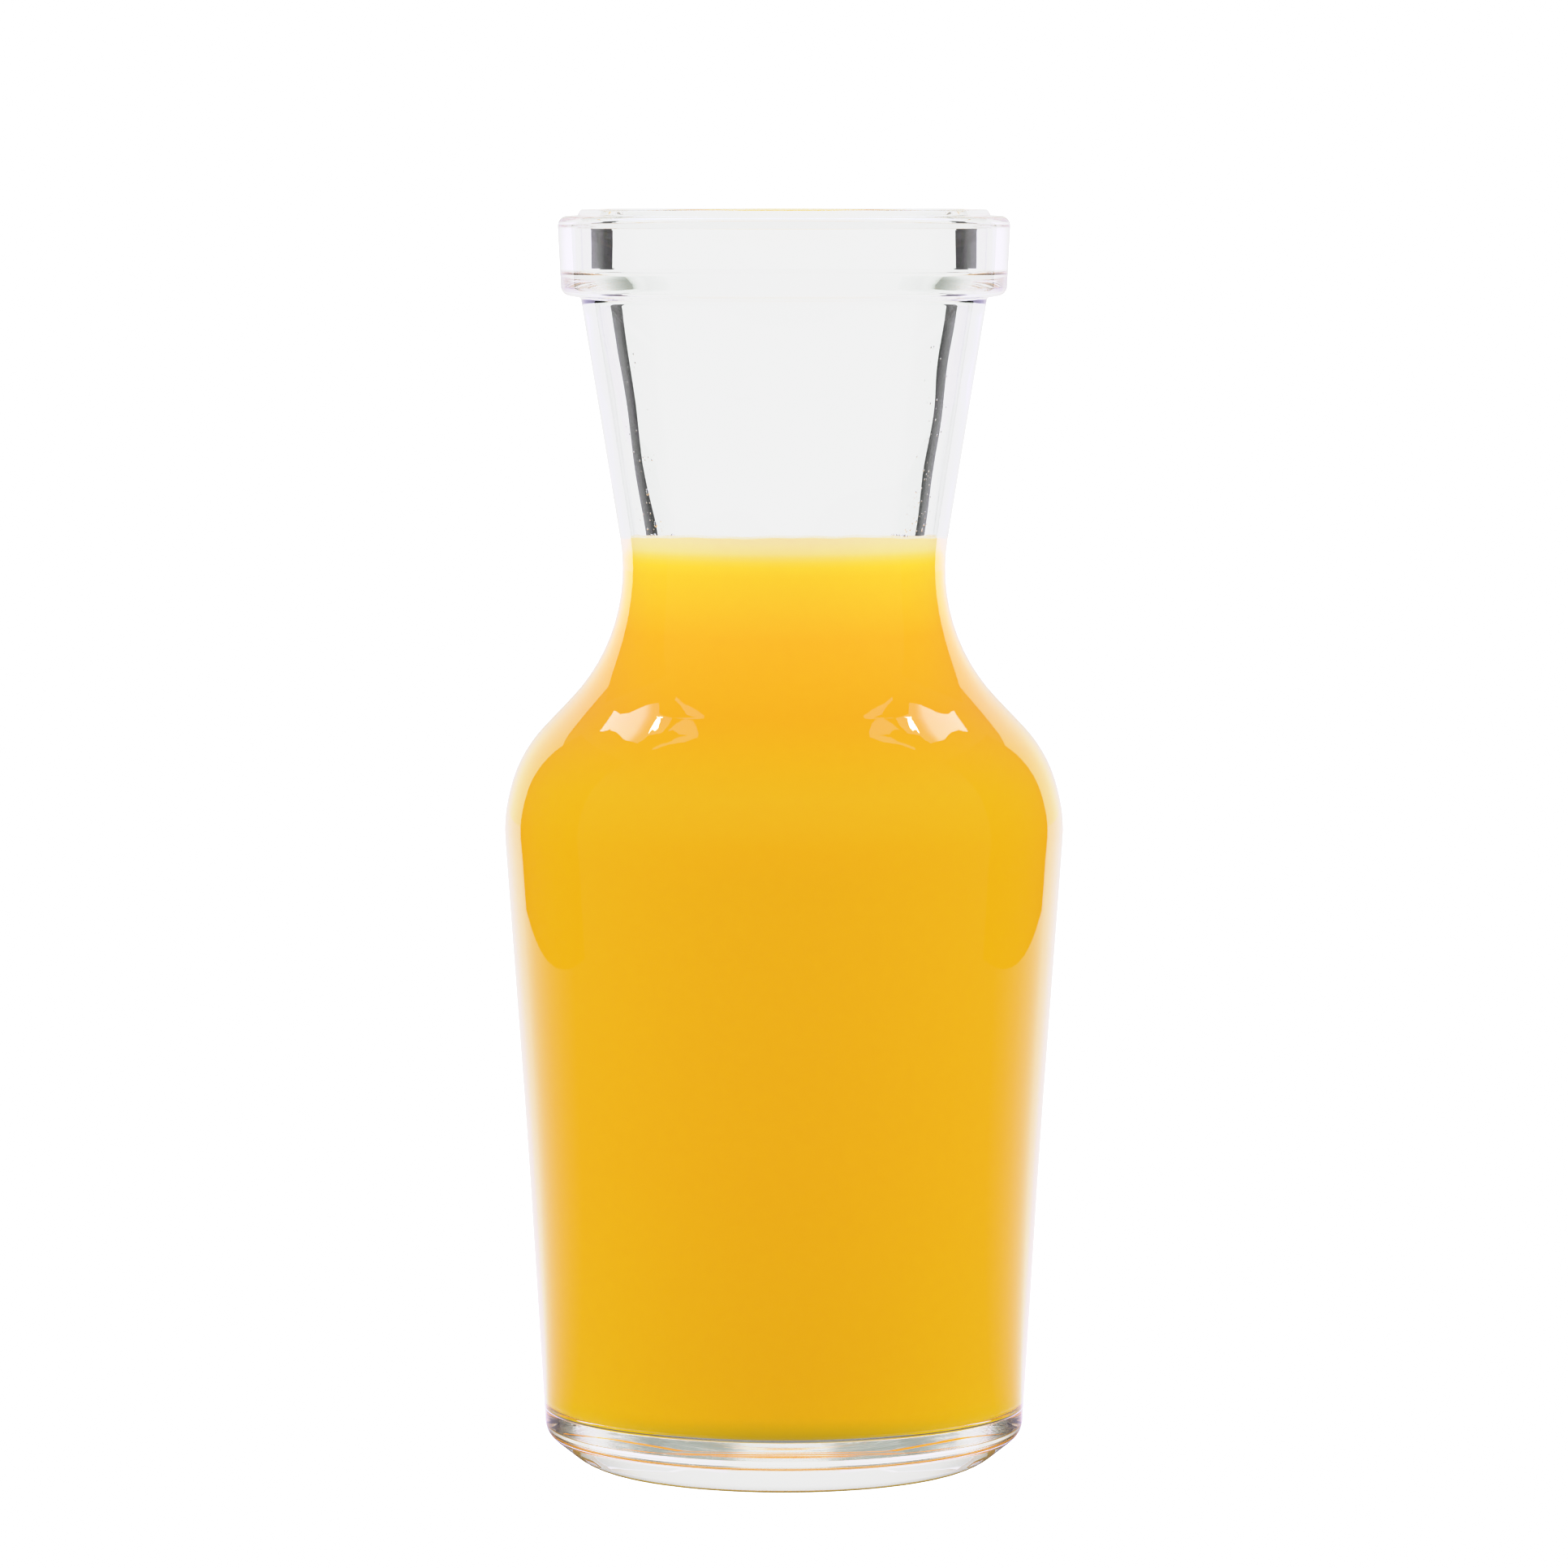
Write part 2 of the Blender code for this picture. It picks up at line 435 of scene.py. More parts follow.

# %% [markdown]
# ## Orange juice
# Juice is cloudy: light goes in a little way and comes out orange, and more comes out where the column is
# narrow and lit from all sides. That light is painted into the colour: a ramp over the height runs from a
# bright yellow at the waist to a darker, deeper orange at the foot, and its top stops turn cream, a painted
# highlight on the top of the juice and its film. Subsurface scattering would show the light itself, but
# slowly and with noise. Fine noise stands for the pulp.

# %% Juice colours
# Painted light: the stops are lighter and yellower up the narrow neck and darker towards the foot; the top
# three are cream, a painted highlight.
JUICE_COLORS_WITH_PAINTED_LIGHT = [
    (0.046, (0.66, 0.43, 0.0015)),
    (0.065, (0.765, 0.398, 0.0015)),
    (0.097, (0.77, 0.384, 0.002)),
    (0.260, (0.835, 0.380, 0.003)),
    (0.482, (0.86, 0.390, 0.004)),
    (0.545, (0.95, 0.402, 0.005)),
    (0.605, (0.98, 0.358, 0.007)),
    (0.665, (1.00, 0.408, 0.012)),
    (0.715, (1.00, 0.555, 0.026)),
    (0.7245, (1.00, 0.620, 0.038)),
    (0.7296, (1.00, 0.645, 0.108)),
    (0.7346, (1.00, 0.685, 0.280)),
    (0.745, (1.00, 0.690, 0.400)),
]
# Painted glow: red emission in the upper juice that stands in for light shining through the narrow column
# from behind.
JUICE_PAINTED_GLOW = [
    (0.550, (0.00, 0, 0)),
    (0.605, (0.13, 0, 0)),
    (0.665, (0.32, 0, 0)),
    (0.7245, (0.45, 0, 0)),
    (0.7346, (0.18, 0, 0)),
    (0.745, (0.15, 0, 0)),
]
PULP_SIZE, PULP_DETAIL, PULP_SHARE = 0.0016, 3, 0.05


def by_height(graph, stops):
    """A colour that depends on the height, given as a share of the carafe's."""
    return graph.node("ShaderNodeValToRGB", 0, {"stops": stops}, {0: graph.object_place("Z") / glass_high.z})


def mixed(graph, blend, share, first, second):
    """Two colours joined by a Mix node."""
    settings = {"data_type": "RGBA", "blend_type": blend}
    return graph.node("ShaderNodeMix", 2, settings, {0: share, 6: first, 7: second})


def juice_color_with_painted_light(graph):
    """Orange with light and shade painted in by height, and faint pulp."""
    pulp = graph.noise(PULP_SIZE, PULP_DETAIL) * PULP_SHARE + (1 - PULP_SHARE / 2)
    return mixed(graph, "MULTIPLY", 1, by_height(graph, JUICE_COLORS_WITH_PAINTED_LIGHT), graph.neutral(pulp))


print("juice colours run from", JUICE_COLORS_WITH_PAINTED_LIGHT[1][1], "up to", JUICE_COLORS_WITH_PAINTED_LIGHT[-1][1])

# %% [markdown]
# The same juice has three finishes. Where it touches the wall nearly nothing is mirrored, unless the light
# skims the juice: past about 63 degrees all of it is thrown back. A Fresnel node with the ratio of the two
# indices gives that share. Its top is open to the air and wet. The upper edge of the film is so thin that
# it is partly clear.

# %% Juice materials
JUICE_INDEX = 1.35
CLOUDY_ROUGHNESS, WET_ROUGHNESS, FILM_ROUGHNESS = 0.9, 0.12, 0.4
TOP_RIPPLE_SIZE, TOP_RIPPLE_DEPTH = 0.006, 0.00002
# The film's pale cream is partly its own lighter colour and partly a painted highlight along its edge.
FILM_SHARE, FILM_COLOR_AND_PAINTED_HIGHLIGHT = 0.6, (1, 0.93, 0.76)


def cloudy(graph, inputs):
    """The body of the juice as a Principled shader, with a painted red glow in its upper part."""
    # Painted glow: the emission lights the upper juice from within, though juice gives out no light.
    glow = {"Emission Color": by_height(graph, JUICE_PAINTED_GLOW), "Emission Strength": 1}
    body = {"Base Color": juice_color_with_painted_light(graph), **glow, **inputs}
    return graph.node("ShaderNodeBsdfPrincipled", 0, inputs=body)


def juice_in_glass():
    """Juice seen through the wall that it touches."""
    material, graph = new_material("orange_juice")
    body = cloudy(graph, {"Roughness": CLOUDY_ROUGHNESS, "Specular IOR Level": 0})
    skim = graph.node("ShaderNodeFresnel", 0, inputs={"IOR": JUICE_INDEX / GLASS_INDEX})
    mirror = graph.node("ShaderNodeBsdfGlossy", 0, inputs={"Color": (1, 1, 1, 1), "Roughness": 0})
    graph.finish(graph.mix_shaders(skim, body, mirror))
    return material


def juice_in_air():
    """The juice's top and the film that clings above it, wet and open to the air, with hardly a ripple."""
    material, graph = new_material("juice_top")
    ripple = graph.bump(TOP_RIPPLE_SIZE, TOP_RIPPLE_DEPTH)
    graph.finish(cloudy(graph, {"Roughness": WET_ROUGHNESS, "IOR": JUICE_INDEX, "Normal": ripple}))
    return material


def thin_film():
    """The film's last half millimetre, so thin that the light behind it shows through."""
    material, graph = new_material("juice_film")
    # The pale cream is partly the thin film's own lighter colour and partly a painted highlight along the
    # film's edge.
    pale_and_painted_highlight = {"Base Color": (*FILM_COLOR_AND_PAINTED_HIGHLIGHT, 1), "Roughness": FILM_ROUGHNESS, "IOR": JUICE_INDEX}
    film = graph.node("ShaderNodeBsdfPrincipled", 0, inputs=pale_and_painted_highlight)
    graph.finish(graph.mix_shaders(FILM_SHARE, graph.passing(), film))
    return material


print("light is thrown back past", round(math.degrees(math.asin(JUICE_INDEX / GLASS_INDEX)), 1), "degrees")

# %% [markdown]
# ## The juice
# The juice is a turned piece too. Its side reaches a little into the wall and the floor, so that no film of
# air is left to mirror the room, and it wanders with the bore. At the glass the liquid climbs in a small
# curve, the meniscus. Above it a thin film clings to the wall, where the juice washed up as the carafe was
# carried: it stands three millimetres high in front and less than one at the back.

# %% Outline of the juice
JUICE_LEVEL = 131.2
BITE = 0.08
MENISCUS_RISE, MENISCUS_WIDTH, MENISCUS_STEPS = 0.35, 2.6, 8
FILM_FRONT, FILM_BACK, FILM_DEPTH, FILM_STEPS = 3.0, 0.75, 0.18, 12


def bore_at(height):
    """The radius of the bore at heights in the neck."""
    upper = bore[(bore[:, 1] > ABOVE_BODY) & (bore[:, 1] < LEDGE[0].height)]
    return np.interp(height, upper[:, 1], upper[:, 0])


def juice_side():
    """The juice's side from the middle of the floor up to the film's edge in front."""
    walls = INSIDE[:len(WALLS) + 3]
    side = [inset(*three, -BITE) for three in zip(walls, walls[1:], walls[2:])]
    middle, neck = Corner(0, FLOOR_HEIGHT - BITE, 0), LEDGE[0]._replace(rounding=0)
    points = split_runs(rounded([middle, *side, neck]))
    film = JUICE_LEVEL + MENISCUS_RISE + (FILM_FRONT - MENISCUS_RISE) * np.linspace(0, 1, FILM_STEPS + 1)
    below = points[points[:, 1] < JUICE_LEVEL]
    return np.concatenate([below, np.stack([bore_at(film) + BITE, film], axis=1)])


def juice_top():
    """The flat surface, the meniscus, which climbs with the square of the way, and the film's free face."""
    edge = bore_at(JUICE_LEVEL)
    flat = split_runs(np.array([[0, JUICE_LEVEL], [edge - MENISCUS_WIDTH, JUICE_LEVEL]]))
    share = np.linspace(0, 1, MENISCUS_STEPS + 1)[1:]
    inward = MENISCUS_WIDTH + (FILM_DEPTH - MENISCUS_WIDTH) * share
    curve = np.stack([edge - inward, JUICE_LEVEL + MENISCUS_RISE * share ** 2], axis=1)
    share = np.linspace(0, 1, FILM_STEPS + 1)[1:]
    height = JUICE_LEVEL + MENISCUS_RISE + (FILM_FRONT - MENISCUS_RISE) * share
    film = np.stack([bore_at(height) - FILM_DEPTH * np.sqrt(1 - share), height], axis=1)
    return np.concatenate([flat, curve, film])


side = juice_side()
top = juice_top()
print("juice outline: side", len(side), "points, top", len(top), "points")

# %% [markdown]
# The outline is turned as if the film were equally high all round. Then its rings are drawn down to a tilted,
# slowly waving edge, and the film and the side follow the waves of the bore, so that no gap opens.

# %% Juice piece
FILM_WAVE, FILM_WAVES = 0.07, [(5, 1, 1), (11, 0, 1), (23, 2, 0.7)]
THIN_STEPS = 2


def film_edge(angle):
    """How high the film's edge stands above the level: a tilted ring, higher towards -Y, with slow waves."""
    waves = sum(share * np.sin(turns * angle + phase) for turns, phase, share in FILM_WAVES)
    return FILM_BACK + (FILM_FRONT - FILM_BACK) * (1 - np.sin(angle)) / 2 + FILM_WAVE * waves


def drape(angle, radius, height):
    """Brings the film's rings to its edge, and lets them and the side follow the bore's waves."""
    low, high = JUICE_LEVEL + MENISCUS_RISE, JUICE_LEVEL + FILM_FRONT
    share = np.clip((height - low) / (high - low), 0, 1)
    lowered = height + share * (JUICE_LEVEL + film_edge(angle) - high)
    ring = np.arange(1, len(height) + 1)[:, None]
    outer = ring >= len(top) - FILM_STEPS
    moved = np.where(share > 0, radius + bore_at(lowered) - bore_at(height), radius)
    return moved + outer * wander(angle, lowered), lowered


juice_materials = [juice_in_glass(), juice_in_air(), thin_film()]
juice = turned("juice_fill", np.concatenate([top, side[::-1]]), juice_materials, drape)
slots = np.zeros(len(juice.data.polygons), np.int32)
slots[:TURN_STEPS * (len(top) - 1)] = 1
slots[TURN_STEPS * (len(top) - 1 - THIN_STEPS):TURN_STEPS * (len(top) + THIN_STEPS)] = 2
juice.data.polygons.foreach_set("material_index", slots)
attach(juice, "root")
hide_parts("orange_juice")
print("juice faces", len(juice.data.polygons), "widest", round(float(side[:, 0].max()), 2), "mm")

# %% [markdown]
# ## Droplets and bubbles
# The carafe was filled a moment ago, so drops of clear water still hang on the inside of the neck, and small
# bubbles sit on the film's edge. Each is a flattened ball that reaches a little into the wall. A particle
# system would be quick, but here every drop has its place: three larger ones as the photograph shows them,
# and a seeded scatter of tiny ones at the sides of the neck.

# %% Places of the drops
DROPS = [(-54.1, 139.9, 0.36), (-51.9, 135.4, 0.33), (53.7, 135.8, 0.17)]
SMALL_DROPS, BUBBLES, DROP_SEED = 110, 14, 5
RIGHT_SHARE = 0.65
DROP_TURNS, BUBBLE_TURNS = (48, 63), (42, 56)
DROP_LOWEST, DROP_REACH, DROP_CROWDING = 134.4, 26, 1.7
DROP_SIZES, BUBBLE_SIZES = (0.04, 0.13), (0.13, 0.27)
DROP_DEPTH, BUBBLE_DEPTH = 0.6, 1.3


def drop_places():
    """Turn from -Y in degrees, height, half-width and depth of every drop and bubble."""
    draw = np.random.default_rng(DROP_SEED)
    sign = np.where(draw.random(SMALL_DROPS + BUBBLES) < RIGHT_SHARE, 1, -1)
    turn = sign * np.append(draw.uniform(*DROP_TURNS, SMALL_DROPS), draw.uniform(*BUBBLE_TURNS, BUBBLES))
    height = DROP_LOWEST + DROP_REACH * draw.random(SMALL_DROPS) ** DROP_CROWDING
    edge = JUICE_LEVEL + film_edge(np.radians(turn[SMALL_DROPS:] - 90))
    half = np.append(draw.uniform(*DROP_SIZES, SMALL_DROPS), draw.uniform(*BUBBLE_SIZES, BUBBLES))
    depth = half * np.repeat([DROP_DEPTH, BUBBLE_DEPTH], [SMALL_DROPS, BUBBLES])
    large = np.array(DROPS)
    first = [*large.T, large[:, 2] * DROP_DEPTH]
    return [np.append(a, b) for a, b in zip(first, [turn, np.append(height, edge), half, depth])]


places = drop_places()
print("drops and bubbles", len(places[0]), "widest", round(2 * float(places[2].max()), 2), "mm")

# %% [markdown]
# A ball is a grid of two angles, one down from its top and one around it, and one array holds all the balls.
# Its height is 1.35 times its width, because a drop on a wall is drawn down a little.

# %% Droplets and bubbles
DROP_STEPS, DROP_TALL = 10, 1.35
DROP_INDEX, DROP_TINT = 1.34, (1, 1, 1)
DROP_RIPPLE_SIZE, DROP_RIPPLE_DEPTH = 0.001, 0.000001


def beads(turn, height, half, depth):
    """Flattened balls on the bore: across = h sin u sin v, up = t h cos u and inward = d sin u cos v."""
    each = (np.radians(turn - 90), height, half, depth)
    angle, height, half, depth = [values[:, None, None] for values in each]
    u = np.linspace(0, math.pi, DROP_STEPS + 1)[None, :, None]
    v = np.linspace(0, 2 * math.pi, 2 * DROP_STEPS, endpoint=False)
    toward = np.sin(u) * np.cos(v)
    up = height + DROP_TALL * half * np.cos(u) + 0 * v
    radius = bore_at(up) - np.where(toward > 0, depth, BITE) * toward
    across = half * np.sin(u) * np.sin(v)
    x = radius * np.cos(angle) - across * np.sin(angle)
    y = radius * np.sin(angle) + across * np.cos(angle)
    return np.stack([x, y, up], axis=-1)


def bead_faces(grid):
    """Quads between neighbouring rings of every ball. A ball's end rings become one point and triangles."""
    balls, rings, steps = grid.shape[:3]
    index = np.arange(balls * rings * steps).reshape(balls, rings, steps)
    index[:, 0], index[:, -1] = index[:, 0, :1], index[:, -1, :1]
    beside = np.roll(index, -1, axis=2)
    quads = np.stack([index[:, :-1], index[:, 1:], beside[:, 1:], beside[:, :-1]], axis=-1)
    top, bottom = quads[:, 0][..., [0, 1, 2]], quads[:, -1][..., [0, 1, 3]]
    faces = [block.reshape(-1, block.shape[-1]).tolist() for block in (quads[:, 1:-1], top, bottom)]
    return faces[0] + faces[1] + faces[2]


grid = beads(*places)
faces = bead_faces(grid)
used, numbered = np.unique(np.concatenate([np.ravel(face) for face in faces]), return_inverse=True)
cuts = np.cumsum([len(face) for face in faces])[:-1]
faces = [face.tolist() for face in np.split(numbered, cuts)]
clear_drop = see_through("clear_drop", DROP_INDEX, DROP_TINT, DROP_RIPPLE_SIZE, DROP_RIPPLE_DEPTH)
drops = add_mesh("neck_drops", grid.reshape(-1, 3)[used] * MM, faces, [clear_drop])
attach(drops, "root")
print("balls", len(grid), "faces", len(faces))

# %% [markdown]
# ## The studio
# The background glows evenly white, so the glass shows only by what it bends and mirrors. White panels stand
# behind the carafe and turn towards it at both sides. Dark cards in front of them draw the lines in the neck,
# and black boards beside the carafe keep the white off its flanks, so that the white edges end in a sharp
# line. Every board says which rays meet it, so one of them can be moved and only its own lines change. The
# eye's own rays meet none of them.

# %% Boards that glow
MIRRORED, BENT = "visible_glossy", "visible_transmission"


def glowing(name, dim, bright=None, axis="Z", span=(0, 1), color=(1, 1, 1), stops_bent=False):
    """A material that gives out light, of one strength or fading along an axis. Most let bent rays pass."""
    material, graph = new_material(name)
    strength = dim
    if bright is not None:
        away = abs(graph.object_place(axis))
        fade = {"Value": away, "From Min": span[0], "From Max": span[1], "To Min": dim, "To Max": bright}
        strength = graph.node("ShaderNodeMapRange", 0, {"interpolation_type": "SMOOTHSTEP"}, fade)
    glow = graph.glow((*color, 1), strength)
    if not stops_bent:
        glow = graph.mix_shaders(graph.ray("Is Transmission Ray"), glow, graph.passing())
    graph.finish(glow)
    return material


def add_board(name, corners, material, rays):
    """A flat board between its corners, met only by the kinds of ray that are named."""
    board = add_mesh(name, np.array(corners, float), [list(range(len(corners)))], [material])
    for kind in ("visible_camera", "visible_diffuse", "visible_shadow", MIRRORED, BENT):
        setattr(board, kind, kind in rays)


def upright(first, last, low, high):
    """The corners of a board that stands on the line from first to last, between two heights."""
    return [(*first, low), (*last, low), (*last, high), (*first, high)]


print("boards are met by", MIRRORED, "and", BENT)

# %% [markdown]
# The dark lines in a real neck are the room's dark sides, bent round by the wall. Here two low, narrow cards
# draw the lines, and two higher, wider ones carry them on up to the collar. The wavering bore breaks their
# straight edges, and noise on the cards leaves lighter flecks. The foot would show the cards as well, so they
# are met only by rays that crossed the neck's two walls: Transmission Depth counts the crossings.

# %% Cards behind the carafe
CARD_COLOR = (0.05, 0.025, 0.06)
CARD_LUMP, CARD_DETAIL, CARD_DARKEST, CARD_CONTRAST = 0.012, 4, 0.4, 2.5
CARD_DEPTH, LINE_FOOT, LINE_TOP, FLAG_TOP = 1.3, 0.018, 0.14, 0.8
LINE_SPAN, FLAG_SPAN = (0.177, 0.236), (0.186, 0.302)
WALLS_PASSED = 3.5


def card_material():
    """A dark violet card that is met only by rays that crossed both walls of the neck, and not the foot."""
    material, graph = new_material("grey_card")
    both = graph.above(graph.ray("Transmission Depth"), WALLS_PASSED)
    mottled = (graph.noise(CARD_LUMP, CARD_DETAIL) - CARD_DARKEST).larger(0) * CARD_CONTRAST
    graph.finish(graph.mix_shaders(both, graph.passing(), graph.glow((*CARD_COLOR, 1), mottled)))
    return material


def card(span, sign, low, high):
    """The corners of a card that faces the carafe from behind, over a span to one side."""
    near, far = [(sign * x, CARD_DEPTH) for x in span]
    return upright(near, far, low, high)


grey = card_material()
print("cards stand", CARD_DEPTH, "m behind the carafe")

# %% [markdown]
# The white panels grow brighter outwards, and the neck's walls mirror and bend them into its white edges. The
# panel in the middle is a little dimmer and is only mirrored: what shows through the middle of the neck is
# the room itself, a touch greyer than the bare background. The black boards are low and short, so the white
# passes behind and above them.

# %% Boards in place
PANEL_DEPTH, PANEL_TOP, PANEL_END = 2.5, 1.3, (1.75, 1.9)
PANEL_COLOR, PANEL_DIM, PANEL_BRIGHT, PANEL_FADE_END = (1, 0.94, 1.1), 1.15, 1.45, 1.0
CENTRE_HALF, CENTRE_DEPTH, CENTRE_GLOW = 0.44, 2.6, 1.05
BOARD_SIDE, BOARD_BACK, BOARD_TOP = 0.40, 0.41, 0.45
BOARD_DIM, BOARD_BRIGHT = 0.05, 0.16
SIDES = (("left", -1), ("right", 1))

panel_fade = (CENTRE_HALF, PANEL_FADE_END)
white = glowing("white_panel", PANEL_DIM, PANEL_BRIGHT, "X", panel_fade, PANEL_COLOR, stops_bent=True)
black = glowing("black_board", BOARD_DIM, BOARD_BRIGHT, "Z", (0, BOARD_TOP))
centre = upright((-CENTRE_HALF, CENTRE_DEPTH), (CENTRE_HALF, CENTRE_DEPTH), 0, PANEL_TOP)
add_board("centre_panel", centre, glowing("centre_panel", CENTRE_GLOW), [MIRRORED])
for side_name, sign in SIDES:
    panel = upright((sign * CENTRE_HALF, PANEL_DEPTH), (sign * PANEL_END[0], PANEL_END[1]), 0, PANEL_TOP)
    add_board(f"white_{side_name}", panel, white, [MIRRORED, BENT, "visible_diffuse"])
    add_board(f"line_{side_name}", card(LINE_SPAN, sign, LINE_FOOT, LINE_TOP), grey, [BENT])
    add_board(f"flag_{side_name}", card(FLAG_SPAN, sign, LINE_TOP, FLAG_TOP), grey, [BENT])
    side_board = upright((sign * BOARD_SIDE, 0), (sign * BOARD_SIDE, BOARD_BACK), 0, BOARD_TOP)
    add_board(f"black_{side_name}", side_board, black, [MIRRORED])
print("black boards stand", BOARD_SIDE, "m to each side")

# %% [markdown]
# ## Lights above
# The highlights on the shoulder are mirror images of what hangs above: at each side a softbox with a bright
# bulb just under it, and a bar in front of both. A round shoulder mirrors a wide ceiling in a small spot and
# bends every edge in it, so a plain square wouldn't look square there. The outlines were worked back from the
# highlights: the ray that the shoulder throws up from a corner of a highlight leads to its place overhead.
# They are kept per metre of rise above the shoulder, so the height can be changed and the shape stays.

# %% Softboxes, bulbs and bars
SHOULDER_LEVEL, SOFTBOX_HEIGHT, BULB_HEIGHT = 0.108, 0.9, 0.89
SOFTBOX = [
    (0, 0.22), (0.605, 0.15), (0.65, 0.195), (0.7, 0.243), (0.79, 0.247), (0.835, 0.38), (0.877, 0.575),
    (0.926, 0.717), (0.962, 0.787), (0.988, 0.857), (0, 0.857),
]
BULB = [
    (0.656, 0.21), (0.667, 0.223), (0.686, 0.25), (0.697, 0.261), (0.691, 0.263), (0.679, 0.249),
    (0.662, 0.224),
]
BAR = [
    (0.597, 0.138), (0.507, 0.053), (0.432, -0.014), (0.436, -0.028), (0.515, -0.007), (0.608, 0.03),
    (0.747, 0.04), (0.724, 0.072), (0.649, 0.072), (0.545, 0.058), (0.483, 0.021), (0.529, 0.065),
    (0.585, 0.125),
]
SOFTBOX_COLOR, SOFTBOX_FADE = (0.72, 0.76, 1.2), (0.23, 0.33)
SOFTBOX_DIM, SOFTBOX_BRIGHT, BAR_GLOW, BULB_GLOW = 1.4, 5, 1.5, 30


def overhead(points, sign, height):
    """Corners above the carafe, from places given per metre of rise above the shoulder."""
    rise = height - SHOULDER_LEVEL
    return [(sign * x * rise, y * rise, height) for x, y in points]


softbox = glowing("softbox", SOFTBOX_DIM, SOFTBOX_BRIGHT, "Y", SOFTBOX_FADE, SOFTBOX_COLOR)
bar = glowing("light_bar", BAR_GLOW, color=SOFTBOX_COLOR)
bulb = glowing("bright_bulb", BULB_GLOW)
for side_name, sign in SIDES:
    add_board(f"softbox_{side_name}", overhead(SOFTBOX, sign, SOFTBOX_HEIGHT), softbox, [MIRRORED])
    add_board(f"bar_{side_name}", overhead(BAR, sign, SOFTBOX_HEIGHT), bar, [MIRRORED])
    add_board(f"bulb_{side_name}", overhead(BULB, sign, BULB_HEIGHT), bulb, [MIRRORED])
print("softboxes hang", SOFTBOX_HEIGHT, "m up")

# %% [markdown]
# ## The table
# The carafe stands on a white table that glows like the background, so no line shows where they meet. What
# the glass makes of it is another matter, and the Light Path node tells the kinds of ray apart. Rays that are
# bent by the foot see a dim, greenish room in front, and rays through the neck a white one with a dark gap at
# each side. Both depend on the azimuth: how far a place is turned from +Y around the carafe.

# %% Kinds of ray and azimuths
ROOM_BY_AZIMUTH = [(55, (1, 1, 1)), (80, (0.40, 0.43, 0.38)), (180, (0.36, 0.39, 0.35))]
NECK_BY_AZIMUTH = [(0, 1.2), (48, 1.2), (54, 0.1), (84, 0.1), (88, 1.1), (180, 1.1)]


def ray_kinds(graph):
    """One for the kind of ray that asks, and zero for the others: camera, bent, mirrored or spread."""
    eye = graph.ray("Is Camera Ray")
    bent = graph.ray("Is Transmission Ray")
    mirrored = graph.ray("Is Glossy Ray") * (1 - bent)
    return eye, bent, mirrored, (1 - eye) * (1 - bent) * (1 - mirrored)


def by_azimuth(graph, across, behind, stops):
    """A colour that depends on how far a place or a direction is turned from +Y, in degrees."""
    turn = across.math("ARCTAN2", abs(across), behind) / math.pi
    return graph.node("ShaderNodeValToRGB", 0, {"stops": [(a / 180, color) for a, color in stops]}, {0: turn})


def glow_by_azimuth(graph, across, behind, stops):
    """A brightness up to two that depends on the same turn."""
    lit = by_azimuth(graph, across, behind, [(azimuth, (glow / 2,) * 3) for azimuth, glow in stops])
    return graph.node("ShaderNodeRGBToBW", 0, inputs={0: lit}) * 2


def room_color(graph, across, behind, bent):
    """White to all rays but the bent ones, for which the foot and the neck have a room each."""
    both = graph.above(graph.ray("Transmission Depth"), WALLS_PASSED)
    foot = by_azimuth(graph, across, behind, ROOM_BY_AZIMUTH)
    neck = graph.neutral(glow_by_azimuth(graph, across, behind, NECK_BY_AZIMUTH))
    return mixed(graph, "MIX", bent, (1, 1, 1, 1), mixed(graph, "MIX", both, foot, neck))


print("the neck's dark gap runs from", NECK_BY_AZIMUTH[1][0], "to", NECK_BY_AZIMUTH[4][0], "degrees")

# %% [markdown]
# Mirrored, the table is bright and a little cool behind the carafe and dark in front, where the room is dark:
# that fades the white edges of the body into its orange front. One material gives each kind of ray its own
# brightness by the place where the ray ends, so the table is the same in every view.

# %% Table
FLOOR_REACH = 3.0
FLOOR_WHITE, FLOOR_GLOW = 2.6, 0.95
WARM_WHITE, COOL_WHITE = (1, 0.93, 1), (0.92, 0.83, 1.21)
COOL_BY_AZIMUTH = [(12, 0), (28, 1)]
SPREAD_BY_AZIMUTH = [(0, 0.62), (90, 1.66), (180, 0.62)]
FLOOR_BY_AZIMUTH = [
    (0, 1.0), (8, 1.05), (12, 1.25), (20, 1.45), (30, 1.6), (40, 1.7), (46, 1.4), (52, 1.1), (64, 0.6),
    (74, 0.3), (83, 0.12), (180, 0.12),
]


def floor_material():
    """A white table. To the eye it glows like the background, and other rays find it lit by azimuth."""
    material, graph = new_material("white_table")
    across, behind = graph.object_place("X"), graph.object_place("Y")
    bright = glow_by_azimuth(graph, across, behind, FLOOR_BY_AZIMUTH)
    around = glow_by_azimuth(graph, across, behind, SPREAD_BY_AZIMUTH)
    eye, bent, mirrored, spread = ray_kinds(graph)
    strength = mirrored * bright + bent + eye * FLOOR_WHITE + spread * around * FLOOR_GLOW
    cool = glow_by_azimuth(graph, across, behind, COOL_BY_AZIMUTH)
    shine = mixed(graph, "MIX", cool, (*WARM_WHITE, 1), (*COOL_WHITE, 1))
    color = mixed(graph, "MIX", mirrored, room_color(graph, across, behind, bent), shine)
    graph.finish(graph.glow(color, strength))
    return material


corners = np.array([[-1, -1, 0], [1, -1, 0], [1, 1, 0], [-1, 1, 0]]) * FLOOR_REACH
floor = add_mesh("table", corners.astype(float), [[0, 1, 2, 3]], [floor_material()])
print("table reaches", FLOOR_REACH, "m to each side")

# %% [markdown]
# ## The room
# The world is what a ray finds that meets no board. To the eye it is white. Rays that the juice spreads find
# it brighter at the sides than in front and behind, which lights the body's sides, and mirrored rays find a
# dim ceiling.

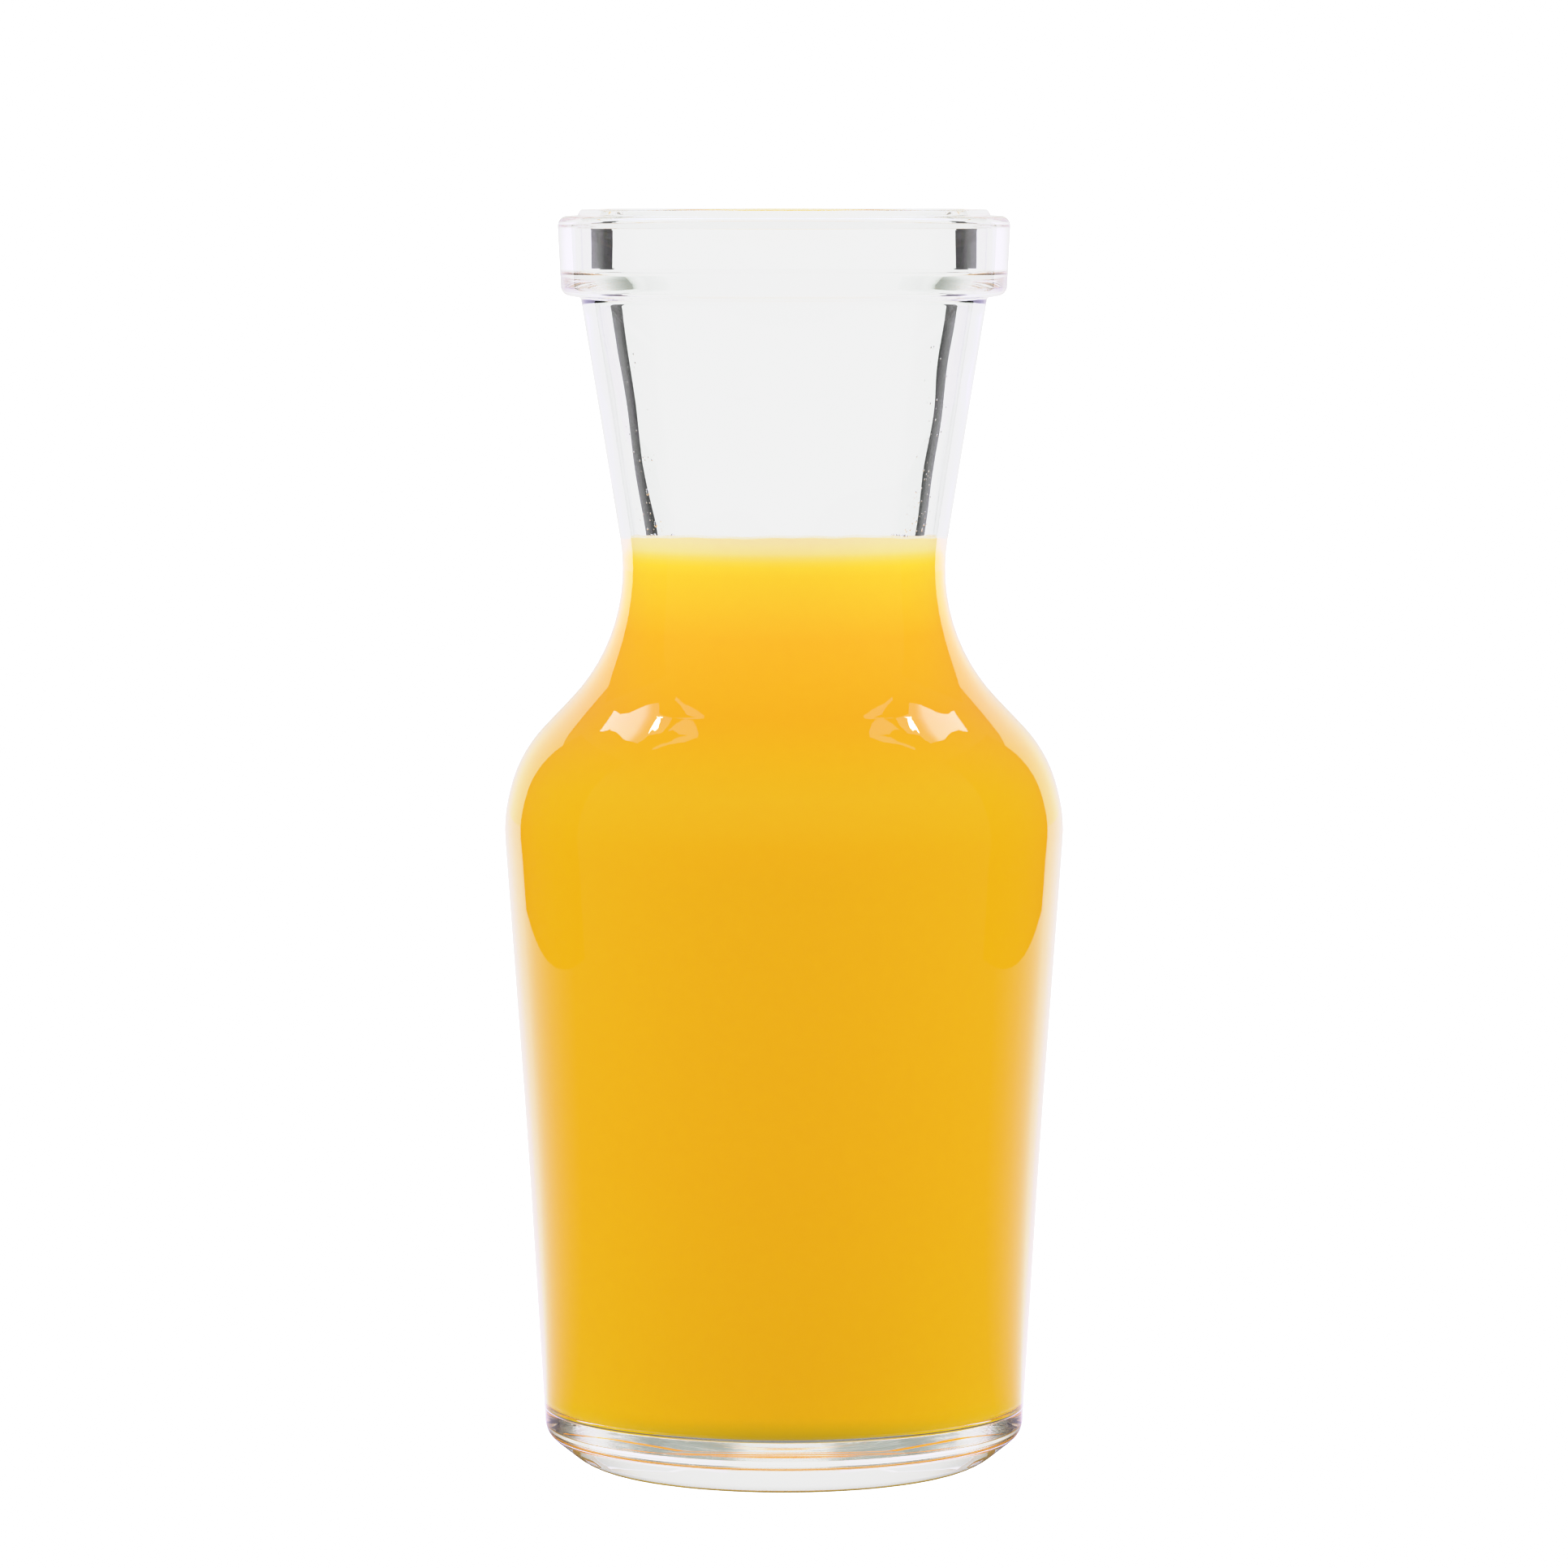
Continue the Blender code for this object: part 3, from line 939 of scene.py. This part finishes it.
# %% World
EYE_WHITE, BENT_WHITE, AMBIENT = 2.6, 1.05, 0.97
ROOM_BY_RISE = [(0, 0.15), (0.34, 0.22), (0.5, 0.24), (0.71, 0.19), (1.0, 0.13)]

world = bpy.data.worlds.new("studio")
bpy.context.scene.world = world
graph = Graph(world)
way = graph.node("ShaderNodeTexCoord", "Generated")
across, behind, rise = [graph.node("ShaderNodeSeparateXYZ", axis, inputs={0: way}) for axis in "XYZ"]


def by_rise(stops):
    """A brightness that depends on how steeply a ray climbs."""
    shades = [(place, (glow,) * 3) for place, glow in stops]
    lit = graph.node("ShaderNodeValToRGB", 0, {"stops": shades}, {0: rise})
    return graph.node("ShaderNodeRGBToBW", 0, inputs={0: lit})


eye, bent, mirrored, spread = ray_kinds(graph)
strength = eye * EYE_WHITE + spread * glow_by_azimuth(graph, across, behind, SPREAD_BY_AZIMUTH) * AMBIENT
strength = strength + bent * BENT_WHITE + mirrored * by_rise(ROOM_BY_RISE)
color = room_color(graph, across, behind, bent)
sky = graph.node("ShaderNodeBackground", 0, inputs={"Color": color, "Strength": strength})
graph.finish(sky, "ShaderNodeOutputWorld")
print("world nodes", len(world.node_tree.nodes))

# %% [markdown]
# ## The lamps
# Two soft lamps in front light the juice itself. One lamp would do, but it would shade the body to one side,
# and the photograph shows both sides alike. The glass mirrors neither, because no such highlight shows.

# %% Lamps
LAMP_SIDE, LAMP_FRONT, LAMP_HEIGHT, LAMP_AIM = 0.9, 1.4, 0.9, 0.09
LAMP_SIZE, LAMP_POWER = 0.8, 6


def add_lamp(name, place):
    """A square soft lamp that looks at the carafe and that the glass doesn't mirror."""
    data = bpy.data.lights.new(name, "AREA")
    data.size = LAMP_SIZE
    data.energy = LAMP_POWER
    lamp = bpy.data.objects.new(name, data)
    lamp.location = place
    way = np.array([0, 0, LAMP_AIM]) - np.array(place)
    lamp.rotation_euler = (math.acos(-way[2] / np.linalg.norm(way)), 0, math.atan2(way[0], -way[1]) + math.pi)
    lamp.visible_glossy = False
    lamp.visible_transmission = False
    lamp.visible_camera = False
    bpy.context.scene.collection.objects.link(lamp)


for side_name, sign in SIDES:
    add_lamp(f"front_{side_name}", (sign * LAMP_SIDE, -LAMP_FRONT, LAMP_HEIGHT))
print("lamps give", LAMP_POWER, "W each")

# %% [markdown]
# ## Exposure
# A camera doesn't clip light all at once: what nears white is pressed together, so the white seen through
# glass stays a touch darker than the bare background. The curve does the same to the picture: it is straight
# up to 0.8, then flatter, most of all between 1.0 and 1.2, and full white from 1.6. Light that is caught in a
# thick foot or collar is mirrored many times before it leaves, so the limit on bounces is set high: with a
# low one those places would turn black.

# %% Tone curve and light paths
CURVE_WHITE, CURVE_MIDDLE = 4, 0.5
TONES = [(0, 0), (0.8, 0.8), (1.0, 0.872), (1.2, 0.892), (1.35, 0.93), (1.6, 1.0), (4.0, 1.0)]
COMBINED = 3
BOUNCES, CLEAR_BOUNCES = 64, 32

scene = bpy.context.scene
scene.view_settings.view_transform = "Standard"
scene.view_settings.use_curve_mapping = True
tones = scene.view_settings.curve_mapping
tones.white_level = (CURVE_WHITE,) * 3
points = tones.curves[COMBINED].points
while len(points) < len(TONES):
    points.new(CURVE_MIDDLE, CURVE_MIDDLE)
for point, (light, shown) in zip(points, TONES):
    point.location = (light / CURVE_WHITE, shown)
    point.handle_type = "VECTOR"
tones.update()
scene.cycles.max_bounces = BOUNCES
scene.cycles.glossy_bounces = BOUNCES
scene.cycles.transmission_bounces = BOUNCES
scene.cycles.transparent_max_bounces = CLEAR_BOUNCES
print("curve points", len(points), "bounces", BOUNCES)
